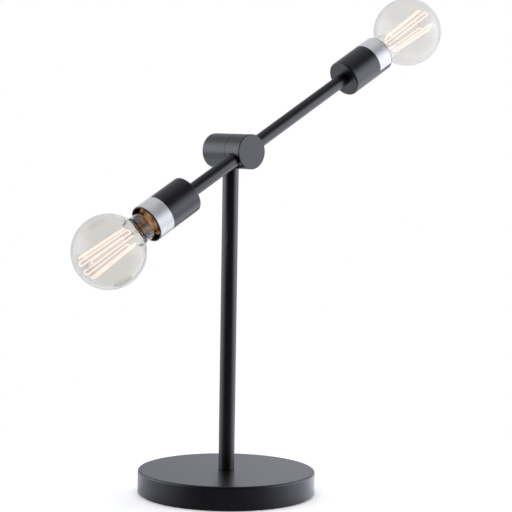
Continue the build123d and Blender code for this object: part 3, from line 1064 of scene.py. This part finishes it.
@dataclass
class Bulb(SideAssembly):
    """A globe bulb. Places are along its axis, from the globe's centre away from the cap."""

    # Glass
    glass: BlownGlass = CLEAR_GLASS
    wall: float = 0.7
    blend: float = 3.0  # radius where the globe runs into the neck
    inner_blend: float = 3.7  # the same inside, which is larger where the glass is thick
    neck_radius: float = 15.8
    neck_end: float = -54.5
    neck_shoulder: float = 5.0
    seat_radius: float = 12.45
    seat_shoulder: float = 2.0
    tail: float = 5.0  # how far the glass goes into the cap
    meeting_step: float = 0.1  # between the blend's last point and the neck's first
    globe_steps: int = 44
    blend_steps: int = 8
    globe_segments: int = 128
    # Stem: a flare at the cap, a tube, and a rod where the tube is pinched
    stem_wall: float = 0.6
    flare_height: float = 0.8
    flare_edge: float = 0.3
    taper: tuple[float, float] = (4.0, 9.0)  # from the flare's rim
    taper_radius: float = 1.0  # how much wider than the tube the taper starts
    taper_bend: float = 3.0
    pinch_bend: float = 2.0
    tube_radius: float = 1.8
    tube_top: float = -34.0
    tube_tip: float = 1.0  # solid glass above the tube's bore
    pinch: float = 4.5
    rod_radius: float = 0.9
    rod_top: float = 33.0
    rod_rounding: float = 0.63
    stem_segments: int = 48
    # Filament and hooks
    runs: int = 14
    crown_radius: float = 13.5
    crown_place: float = 31.0
    socket_radius: float = 11.0
    socket_place: float = -29.0
    turn: float = 5.1  # width of each turn over its hook
    wire: float = 1.65  # as wide as the glow makes it look
    phase: float = 4.0  # degrees
    hook_wire: float = 0.16
    hook_reach: float = 0.8
    hook_gap: float = 0.7
    lead_in_radius: float = 3.0
    # Cap, with a sloped floor inside that hides the contact from the globe
    cap_radius: float = 12.75
    cap_wall: float = 0.35
    cap_rim: float = 1.6
    cap_bend: float = 0.8
    rim_bends: tuple[float, float, float] = (0.15, 0.5, 0.4)  # edge, outside, inside
    cap_hole: float = 5.85
    bowl_edge: float = 5.6
    bowl_floor: float = 9.0
    thread: Thread = Thread(depth=0.34, start=1.2)

    def build(self) -> None:
        """Makes the bulb's pieces."""
        self.blow_glass()
        self.draw_stem()
        self.wind_filament()
        self.set_hooks()
        self.roll_cap()

    def blow_glass(self) -> None:
        """Makes the globe with its neck, as one closed skin of its outside and its inside."""
        low, _, radius = self.spine.span(f"bulb_glass_{self.label}")
        cap_top = low + self.tail
        skins = []
        for inset, blend in ((0.0, self.blend), (self.wall, self.inner_blend)):
            globe = radius - inset
            neck = self.neck_radius - inset
            seat = self.seat_radius - inset
            centre_radius = neck + blend
            centre_place = -math.sqrt((globe + blend) ** 2 - centre_radius**2)
            centre = (centre_place, centre_radius)
            meeting = math.degrees(math.atan2(centre_radius, centre_place))
            skin = arc((0.0, 0.0), globe, 0.0, meeting, self.globe_steps)
            skin += arc(centre, blend, 180 + meeting, 270, self.blend_steps)[1:]
            skin += trace(
                [
                    Corner(centre_place - self.meeting_step, neck),
                    Corner(self.neck_end, neck, self.neck_shoulder),
                    Corner(cap_top, seat, self.seat_shoulder),
                    Corner(low, seat),
                ]
            )
            skins.append(skin)
        outline = skins[0] + skins[1][::-1]
        piece = turned(f"globe_{self.label}", outline, segments=self.globe_segments)
        self.settle(piece, self.glass, "clear_glass", f"bulb_glass_{self.label}")

    def draw_stem(self) -> None:
        """Makes the stem: a hollow flare and tube, pinched where the rod starts."""
        low, _, flare = self.spine.span(f"glass_stem_{self.label}")
        wide, narrow = (low + place for place in self.taper)
        shoulder = self.tube_radius + self.taper_radius
        pinched = self.tube_top - self.pinch
        outside = trace(
            [
                Corner(low, flare - self.stem_wall),
                Corner(low, flare, self.flare_edge),
                Corner(low + self.flare_height, flare, self.flare_edge),
                Corner(wide, shoulder, self.taper_bend),
                Corner(narrow, self.tube_radius, self.taper_bend),
                Corner(pinched, self.tube_radius, self.pinch_bend),
                Corner(self.tube_top, self.rod_radius, self.pinch_bend),
                Corner(self.rod_top, self.rod_radius, self.rod_rounding),
                Corner(self.rod_top, 0.0),
            ]
        )
        inside = trace(
            [
                Corner(self.tube_top - self.tube_tip, 0.0),
                Corner(pinched, self.tube_radius - self.stem_wall, self.pinch_bend),
                Corner(narrow, self.tube_radius - self.stem_wall, self.taper_bend),
                Corner(wide, shoulder - self.stem_wall, self.taper_bend),
                Corner(low, flare - self.stem_wall),
            ]
        )
        piece = turned(f"stem_{self.label}", inside[:-1] + outside, segments=self.stem_segments)
        self.settle(piece, STEM_GLASS, "clear_glass", f"glass_stem_{self.label}")

    def wind_filament(self) -> None:
        """Winds the filament up and down between its crown ring and its socket ring."""
        sizes = {
            "Runs": self.runs,
            "Crown Radius": self.crown_radius,
            "Crown Place": self.crown_place,
            "Socket Radius": self.socket_radius,
            "Socket Place": self.socket_place,
            "Turn": self.turn,
            "Wire": self.wire,
            "Phase": math.radians(self.phase),
        }
        piece = empty_mesh(f"squirrel_cage_{self.label}")
        cage_recipe(sizes, GLOW.material()).run(piece)
        self.settle(piece, GLOW, "filament", f"filament_{self.label}")

    def set_hooks(self) -> None:
        """Sets the hook wires on the rod, and the two lead-ins that carry the filament's ends."""
        half = self.runs // 2
        crown = (self.crown_radius, self.crown_place - self.hook_gap)
        socket = (self.socket_radius, self.socket_place + self.hook_gap)
        # How many wires, the first one's turn and the step to the next, their foot, their ring
        wires = {
            "crown_hooks": (half, 1.0, 2.0, (self.rod_radius, crown[1]), crown),
            "socket_hooks": (half - 1, 2.0, 2.0, (self.rod_radius, socket[1]), socket),
            "lead_ins": (2, 0.0, float(self.runs), (self.lead_in_radius, self.tube_top), socket),
        }
        for name, (count, first, every, foot, tip) in wires.items():
            sizes = {
                "Count": count,
                "First": first,
                "Every": every,
                "Places": float(self.runs + 1),
                "Foot Radius": foot[0],
                "Foot Place": foot[1],
                "Tip Radius": tip[0] + self.hook_reach,
                "Tip Place": tip[1],
                "Wire": self.hook_wire,
                "Phase": math.radians(self.phase),
            }
            piece = empty_mesh(f"{name}_{self.label}")
            hook_recipe(sizes, MOLYBDENUM.material()).run(piece)
            self.settle(piece, MOLYBDENUM, "support_wire", f"filament_supports_{self.label}")

    def roll_cap(self) -> None:
        """Makes the brass cap: a rim rolled over the glass, and the thread below it."""
        low, high, rim = self.spine.span(f"bulb_cap_{self.label}")
        inner = self.cap_radius - self.cap_wall
        neck = high - 2 * self.cap_rim
        edge, outside, inside = self.rim_bends
        sheet = trace(
            [
                Corner(high, rim, edge),
                Corner(high - self.cap_rim, rim, outside),
                Corner(neck, self.cap_radius, self.cap_bend),
                Corner(low, self.cap_radius, self.cap_bend),
                Corner(low, self.cap_hole),
                Corner(high - self.bowl_floor, self.cap_hole),
                Corner(high - self.bowl_edge, inner, self.cap_bend),
                Corner(neck, inner, self.cap_bend),
                Corner(high - self.cap_rim, rim - self.cap_wall, inside),
                Corner(high, rim - self.cap_wall, edge),
            ],
            closed=True,
        )
        piece = self.thread.roll(f"brass_cap_{self.label}", sheet, low, neck, ROLLED_BRASS)
        self.settle(piece, ROLLED_BRASS, "cap_brass", f"bulb_cap_{self.label}")


# Recipes

WIRE_SIDES = 8
WIRE_BEND = 0.4  # radius of the filament's bends, as a share of a turn's width
WIRE_BEND_STEPS = 3
HOOK_SIDES = 6
HOOK_STEPS = 6


def empty_mesh(name: str) -> bpy.types.Object:
    """Adds an object with an empty mesh, for a recipe that makes its own geometry.

    Args:
        name: The object's name.

    Returns:
        The new object.
    """
    made = bpy.data.objects.new(name, bpy.data.meshes.new(name))
    bpy.context.scene.collection.objects.link(made)
    return made


def drawn_wire(tree: Tree, curve: Socket, gauge: Socket, sides: int) -> Socket:
    """Draws round wire along a recipe's curve.

    Args:
        tree: The recipe's tree.
        curve: The curve's socket.
        gauge: The socket of the wire's radius.
        sides: Faces round the wire.

    Returns:
        The wire's socket.
    """
    ring = {"Resolution": sides, "Radius": gauge}
    section = add_node(tree, "GeometryNodeCurvePrimitiveCircle", inputs=ring).outputs[0]
    parts = {"Curve": curve, "Profile Curve": section, "Fill Caps": True}
    return add_node(tree, "GeometryNodeCurveToMesh", inputs=parts).outputs[0]


def cage_recipe(sizes: dict[str, float | int], material: bpy.types.Material) -> Recipe:
    """Writes the recipe of a squirrel-cage filament, wound about local Z.

    The wire's corners are counted. Two of them make one turn over a hook, and the turns lie on
    the crown ring and the socket ring by turns.

    Args:
        sizes: Values of the recipe's inputs.
        material: The wire's material.

    Returns:
        The recipe.
    """
    recipe = Recipe("wind_cage", sizes)
    tree = recipe.tree
    index = add_node(tree, "GeometryNodeInputIndex").outputs[0]
    sums = {
        # Which hook the corner belongs to, and on which side of it the corner lies
        "step": ("ADD", "index", 1.0),
        "half": ("MULTIPLY", "step", 0.5),
        "hook": ("FLOOR", "half"),
        "parity": ("MODULO", "step", 2.0),
        "way": ("MULTIPLY_ADD", "parity", 2.0, -1.0),
        # The ring that the hook is on
        "at crown": ("MODULO", "hook", 2.0),
        "at socket": ("SUBTRACT", 1.0, "at crown"),
        "socket radius": ("MULTIPLY", "Socket Radius", "at socket"),
        "radius": ("MULTIPLY_ADD", "Crown Radius", "at crown", "socket radius"),
        "socket place": ("MULTIPLY", "Socket Place", "at socket"),
        "place": ("MULTIPLY_ADD", "Crown Place", "at crown", "socket place"),
        # The corner's angle
        "hooks": ("ADD", "Runs", 1.0),
        "share": ("DIVIDE", "hook", "hooks"),
        "hook angle": ("MULTIPLY_ADD", "share", math.tau, "Phase"),
        "turn angle": ("DIVIDE", "Turn", "radius"),
        "half angle": ("MULTIPLY", "turn angle", 0.5),
        "angle": ("MULTIPLY_ADD", "half angle", "way", "hook angle"),
        "cosine": ("COSINE", "angle"),
        "sine": ("SINE", "angle"),
        "across": ("MULTIPLY", "cosine", "radius"),
        "upward": ("MULTIPLY", "sine", "radius"),
        # The whole wire
        "corners": ("MULTIPLY", "Runs", 2.0),
        "bend": ("MULTIPLY", "Turn", WIRE_BEND),
        "gauge": ("MULTIPLY", "Wire", 0.5),
    }
    values = recipe.work_out(sums, {"index": index})
    corner = add_node(
        tree,
        "ShaderNodeCombineXYZ",
        inputs={0: values["across"], 1: values["upward"], 2: values["place"]},
    )
    line = add_node(tree, "GeometryNodeCurvePrimitiveLine")
    stations = add_node(
        tree,
        "GeometryNodeResampleCurve",
        {"mode": "COUNT"},
        {"Curve": line.outputs[0], "Count": values["corners"]},
    )
    route = add_node(
        tree,
        "GeometryNodeSetPosition",
        inputs={"Geometry": stations.outputs[0], "Position": corner.outputs[0]},
    )
    rounded = add_node(
        tree,
        "GeometryNodeFilletCurve",
        {"mode": "POLY"},
        {"Curve": route.outputs[0], "Radius": values["bend"], "Count": WIRE_BEND_STEPS},
    )
    recipe.close(drawn_wire(tree, rounded.outputs[0], values["gauge"], WIRE_SIDES), material)
    return recipe


def hook_recipe(sizes: dict[str, float | int], material: bpy.types.Material) -> Recipe:
    """Writes the recipe of a ring of hook wires, which bend out from the rod to the filament.

    Args:
        sizes: Values of the recipe's inputs.
        material: The wires' material.

    Returns:
        The recipe.
    """
    recipe = Recipe("set_hooks", sizes)
    tree = recipe.tree
    index = add_node(tree, "GeometryNodeInputIndex").outputs[0]
    sums = {
        "gauge": ("MULTIPLY", "Wire", 0.5),
        "place": ("MULTIPLY_ADD", "index", "Every", "First"),
        "share": ("DIVIDE", "place", "Places"),
        "angle": ("MULTIPLY_ADD", "share", math.tau, "Phase"),
    }
    values = recipe.work_out(sums, {"index": index})
    bends = {
        "Start": ("Foot Radius", "Foot Place"),
        "Middle": ("Foot Radius", "Tip Place"),
        "End": ("Tip Radius", "Tip Place"),
    }
    bow = add_node(tree, "GeometryNodeCurveQuadraticBezier", inputs={"Resolution": HOOK_STEPS})
    for end, (radius, place) in bends.items():
        inputs = {0: values[radius], 2: values[place]}
        point = add_node(tree, "ShaderNodeCombineXYZ", inputs=inputs)
        tree.links.new(point.outputs[0], bow.inputs[end])
    wire = drawn_wire(tree, bow.outputs[0], values["gauge"], HOOK_SIDES)
    facing = add_node(tree, "ShaderNodeCombineXYZ", inputs={2: values["angle"]})
    feet = add_node(
        tree,
        "GeometryNodeMeshLine",
        inputs={"Count": values["Count"], "Offset": (0.0, 0.0, 0.0)},
    )
    ring = add_node(
        tree,
        "GeometryNodeInstanceOnPoints",
        inputs={"Points": feet.outputs[0], "Instance": wire, "Rotation": facing.outputs[0]},
    )
    recipe.close(ring.outputs[0], material)
    return recipe


def thread_recipe(sizes: dict[str, float | int], material: bpy.types.Material) -> Recipe:
    """Writes the recipe of a rolled thread about local Z, which fades out at both ends.

    Args:
        sizes: Values of the recipe's inputs.
        material: The sheet's material.

    Returns:
        The recipe.
    """
    recipe = Recipe("roll_thread", sizes)
    tree = recipe.tree
    position = add_node(tree, "GeometryNodeInputPosition").outputs[0]
    x, y, z = add_node(tree, "ShaderNodeSeparateXYZ", inputs={0: position}).outputs
    sums = {
        "angle": ("ARCTAN2", "y", "x"),
        "turns": ("DIVIDE", "z", "Pitch"),
        "swing": ("MULTIPLY_ADD", "turns", math.tau, "angle"),
        "wave": ("COSINE", "swing"),
        "full from": ("ADD", "Start", "Fade"),
        "full to": ("SUBTRACT", "End", "Fade"),
    }
    values = recipe.work_out(sums, {"x": x, "y": y, "z": z})
    rise = (z, values["Start"], values["full from"], 0.0, 1.0)
    fall = (z, values["full to"], values["End"], 1.0, 0.0)
    height = layered(tree, [[rise, fall]])
    for name in ("wave", "Depth"):
        inputs = {0: height, 1: values[name]}
        height = add_node(tree, "ShaderNodeMath", {"operation": "MULTIPLY"}, inputs).outputs[0]
    flat = add_node(tree, "ShaderNodeCombineXYZ", inputs={0: x, 1: y})
    outward = add_node(
        tree, "ShaderNodeVectorMath", {"operation": "NORMALIZE"}, {0: flat.outputs[0]}
    )
    offset = add_node(
        tree,
        "ShaderNodeVectorMath",
        {"operation": "SCALE"},
        {0: outward.outputs[0], "Scale": height},
    )
    rolled = add_node(
        tree,
        "GeometryNodeSetPosition",
        inputs={"Geometry": recipe.source.outputs["Geometry"], "Offset": offset.outputs[0]},
    )
    recipe.close(rolled.outputs[0], material)
    return recipe


# Studio


@dataclass(frozen=True)
class PhotoCamera:
    """The photograph's camera, solved from its edges. Angles in degrees, lengths in metres."""

    azimuth: float = -40.694
    height: float = 0.42843
    distance: float = 2.05844
    yaw: float = 0.828
    pitch: float = -4.423
    roll: float = 0.914
    focal_pixels: float = 1842.61
    image_pixels: float = 512.0
    sensor: float = 36.0  # millimetres
    nearest: float = 0.05

    def towards(self) -> tuple[float, float, float]:
        """The level direction from the lamp to the camera."""
        return (math.sin(math.radians(self.azimuth)), -math.cos(math.radians(self.azimuth)), 0.0)

    def rightwards(self) -> tuple[float, float, float]:
        """The level direction that lies to the right in the picture."""
        return (math.cos(math.radians(self.azimuth)), math.sin(math.radians(self.azimuth)), 0.0)

    def place(self) -> None:
        """Adds the camera and makes it the scene's."""
        at = Vector(self.towards()) * self.distance + Vector((0.0, 0.0, self.height))
        turn = Matrix.Rotation(math.radians(self.azimuth - self.yaw), 4, "Z")
        tilt = Matrix.Rotation(math.radians(90 + self.pitch), 4, "X")
        roll = Matrix.Rotation(math.radians(self.roll), 4, "Z")
        lens = bpy.data.cameras.new("photo_camera")
        lens.sensor_width = self.sensor
        lens.lens = self.focal_pixels * self.sensor / self.image_pixels
        lens.clip_start = self.nearest
        camera = bpy.data.objects.new("photo_camera", lens)
        camera.matrix_world = Matrix.Translation(at) @ turn @ tilt @ roll
        bpy.context.scene.collection.objects.link(camera)
        bpy.context.scene.camera = camera


@dataclass(frozen=True)
class Studio:
    """White studio: pale floor, soft overhead light, bright walls beside and behind the lamp.

    Polished surfaces see the floor and the room as fields of light that change smoothly. Each
    change is given as (start, end, strength at the start, strength at the end), and goes by how
    far a fixed direction points towards the photograph's camera side (facing), to its right
    (across) or up (height), or by the distance from the lamp in metres.
    """

    light: str = "#F1F4FF"
    white: str = "#FFFFFF"
    # Floor
    floor_radius: float = 3.0
    floor_depth: float = 0.1  # millimetres below the lamp
    paper: str = "#EDEDED"
    paper_fill: float = 0.3
    white_from: Fade = (0.16, 0.5, 0.0, 1.0)  # distance
    floor_near: Fade = (0.15, 0.4, 0.32, 0.0)  # distance
    floor_beyond: Fade = (0.15, 0.4, 0.68, 1.0)  # distance
    near_front: Fade = (1.0, 0.55, 0.2, 1.15)  # facing
    far_front: Fade = (0.75, 0.1, 0.12, 1.0)  # facing
    floor_back: Fade = (0.0, -0.35, 1.0, 1.5)  # facing
    floor_far: Fade = (-0.45, -0.9, 1.0, 0.55)  # facing
    floor_side: Fade = (-0.6, 0.6, 0.8, 1.34)  # across
    # Room, with a softbox on each side and a backdrop
    room: Fade = (0.45, -0.25, 0.05, 0.52)  # facing
    backdrop: Fade = (-0.6, -0.95, 0.0, 0.3)  # facing
    backdrop_side: Fade = (-0.06, 0.06, 0.6, 1.35)  # across
    box_front: Fade = (0.68, 0.25, 0.0, 1.0)  # facing
    box_back: Fade = (-0.85, -0.3, 0.0, 1.0)  # facing
    box_top: Fade = (0.75, 0.25, 0.0, 1.0)  # height
    box_side: Fade = (-0.5, 0.5, 1.9, 2.1)  # across
    # Overhead light
    overhead_size: float = 1.8
    overhead_height: float = 2.2
    overhead_power: float = 30.0

    def build(self, camera: PhotoCamera) -> None:
        """Makes the floor, the world, the overhead light and the camera.

        Args:
            camera: The camera, whose side of the room is dark.
        """
        bpy.context.scene.view_settings.view_transform = "Standard"
        self.lay_floor(camera)
        self.light_world(camera)
        self.hang_light()
        camera.place()

    def measured(
        self, tree: Tree, way: Socket, camera: PhotoCamera
    ) -> tuple[Socket, Socket, Socket]:
        """Measures a direction against the photograph's.

        Args:
            tree: The node tree.
            way: The direction's socket.
            camera: The camera.

        Returns:
            How far it points towards the camera's side, to the right and up.
        """
        directions = (camera.towards(), camera.rightwards(), (0.0, 0.0, 1.0))
        facing, across, height = (
            add_node(
                tree, "ShaderNodeVectorMath", {"operation": "DOT_PRODUCT"}, {0: way, 1: direction}
            ).outputs["Value"]
            for direction in directions
        )
        return facing, across, height

    def lay_floor(self, camera: PhotoCamera) -> None:
        """Lays a round pale floor that keeps the lamp's soft shadow and runs out to white.

        Args:
            camera: The camera, on whose side polished surfaces see the floor dark.
        """
        rim = self.floor_radius / MM
        floor = turned("studio_floor", [(-self.floor_depth, 0.0), (-self.floor_depth, rim)])
        floor.data.transform(Matrix.Scale(MM, 4))
        material = bpy.data.materials.new("white_paper_sweep")
        material.use_nodes = True
        tree = material.node_tree
        tree.nodes.clear()
        place = add_node(tree, "ShaderNodeTexCoord").outputs["Object"]
        away = add_node(tree, "ShaderNodeVectorMath", {"operation": "LENGTH"}, {0: place})
        distance = away.outputs["Value"]
        way = add_node(tree, "ShaderNodeVectorMath", {"operation": "NORMALIZE"}, {0: place})
        facing, across, _ = self.measured(tree, way.outputs[0], camera)

        paper = add_node(tree, "ShaderNodeBsdfDiffuse", inputs={"Color": colour(self.paper)})
        fill = {"Color": colour(self.white), "Strength": self.paper_fill}
        bounce = add_node(tree, "ShaderNodeEmission", inputs=fill)
        lit = {0: paper.outputs[0], 1: bounce.outputs[0]}
        near = add_node(tree, "ShaderNodeAddShader", inputs=lit)
        white = add_node(tree, "ShaderNodeEmission", inputs={"Color": colour(self.white)})
        fade = layered(tree, [[(distance, *self.white_from)]])
        seen = add_node(
            tree, "ShaderNodeMixShader", inputs={0: fade, 1: near.outputs[0], 2: white.outputs[0]}
        )
        everywhere = [
            (facing, *self.floor_back),
            (facing, *self.floor_far),
            (across, *self.floor_side),
        ]
        strength = layered(
            tree,
            [
                [(distance, *self.floor_near), (facing, *self.near_front), *everywhere],
                [(distance, *self.floor_beyond), (facing, *self.far_front), *everywhere],
            ],
        )
        shine = {"Color": colour(self.light), "Strength": strength}
        mirrored = add_node(tree, "ShaderNodeEmission", inputs=shine)
        rays = add_node(tree, "ShaderNodeLightPath").outputs
        polished = add_node(
            tree,
            "ShaderNodeMixShader",
            inputs={0: rays["Is Glossy Ray"], 1: paper.outputs[0], 2: mirrored.outputs[0]},
        )
        mixed = add_node(
            tree,
            "ShaderNodeMixShader",
            inputs={0: seen_directly(tree), 1: polished.outputs[0], 2: seen.outputs[0]},
        )
        add_node(tree, "ShaderNodeOutputMaterial", inputs={"Surface": mixed.outputs[0]})
        floor.data.materials.append(material)

    def light_world(self, camera: PhotoCamera) -> None:
        """Lights the room: white backdrop, a softbox on each side, dark behind the camera.

        Args:
            camera: The camera, whose side of the room is dark.
        """
        world = bpy.data.worlds.new("studio_room")
        bpy.context.scene.world = world
        world.use_nodes = True
        tree = world.node_tree
        tree.nodes.clear()
        way = add_node(tree, "ShaderNodeTexCoord").outputs["Generated"]
        facing, across, height = self.measured(tree, way, camera)
        strength = layered(
            tree,
            [
                [(facing, *self.room)],
                [(facing, *self.backdrop), (across, *self.backdrop_side)],
                [
                    (facing, *self.box_front),
                    (facing, *self.box_back),
                    (height, *self.box_top),
                    (across, *self.box_side),
                ],
            ],
        )
        shine = {"Color": colour(self.light), "Strength": strength}
        room = add_node(tree, "ShaderNodeBackground", inputs=shine)
        white = add_node(tree, "ShaderNodeBackground", inputs={"Color": colour(self.white)})
        mixed = add_node(
            tree,
            "ShaderNodeMixShader",
            inputs={0: seen_directly(tree), 1: room.outputs[0], 2: white.outputs[0]},
        )
        add_node(tree, "ShaderNodeOutputWorld", inputs={"Surface": mixed.outputs[0]})

    def hang_light(self) -> None:
        """Hangs the overhead softbox, which polished surfaces don't show."""
        lamp = bpy.data.lights.new("overhead_softbox", "AREA")
        lamp.shape = "DISK"
        lamp.size = self.overhead_size
        lamp.energy = self.overhead_power
        holder = bpy.data.objects.new("overhead_softbox", lamp)
        holder.location = (0.0, 0.0, self.overhead_height)
        holder.visible_glossy = False
        holder.visible_camera = False
        holder.visible_transmission = False
        bpy.context.scene.collection.objects.link(holder)


# The whole lamp

# Glass of each bulb, and the radius inside it where the globe runs into the neck. An even wall
# has 3.7 mm there. The lower bulb's is thicker, which bends the brass behind it into a dark arc
# The two tints differ only as painted shade on the lower globe and painted light on the raised one
BULB_GLASS: dict[Side, tuple[BlownGlass, float]] = {
    Side.LEFT: (CLEAR_GLASS, 9.0),
    Side.RIGHT: (GLASS_PAINTED_LIGHTER, 3.7),
}


def dress_cad_nodes() -> None:
    """Gives every CAD node the finish of its material slot."""
    for part in frame["record"]["subparts"]:
        CAD_FINISHES[part["material_slot"]].dress(frame["nodes"][part["node"]])


def assemble() -> list[SubAssembly]:
    """Lists the lamp's sub-assemblies, from the base up and then outwards.

    Returns:
        The sub-assemblies, none of them built yet.
    """
    joints = {joint["name"]: joint for joint in frame["joints"]}
    upright = Spine(Vector((0.0, 0.0, 0.0)), Vector((0.0, 0.0, 1.0)))
    listed: list[SubAssembly] = [
        Base("base", upright),
        Barrel("base", upright, node="pivot_body"),
        Barrel("base", upright, node="pivot_rear_cap"),
        Barrel("arm", upright, node="pivot_head"),
    ]
    pivot = joints["arm_tilt"]["pos_m"]
    low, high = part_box("arm_left")
    centre = Vector((pivot[0], (low.y + high.y) / 2, pivot[2]))
    for side in Side:
        body = f"bulb_{side.value}"
        arm = Spine(centre, Vector(joints[f"{body}_out"]["axis"]))
        _, crown, globe = arm.span(f"bulb_glass_{side.value}")
        glass, inner_blend = BULB_GLASS[side]
        axis = arm.shifted(crown - globe)
        listed.append(ArmEnd("arm", arm, side=side))
        listed.append(Bulb(body, axis, side=side, glass=glass, inner_blend=inner_blend))
    return listed


def main() -> None:
    """Builds the lamp's looks and its studio, and reports each piece."""
    logging.basicConfig(level=logging.INFO, format="%(name)s: %(message)s")
    dress_cad_nodes()
    for assembly in assemble():
        assembly.build()
        for piece in assembly.made:
            log.info("%s on %s, %d faces", piece.name, assembly.body, len(piece.data.polygons))
    Studio().build(PhotoCamera())


if __name__ == "__main__":
    main()
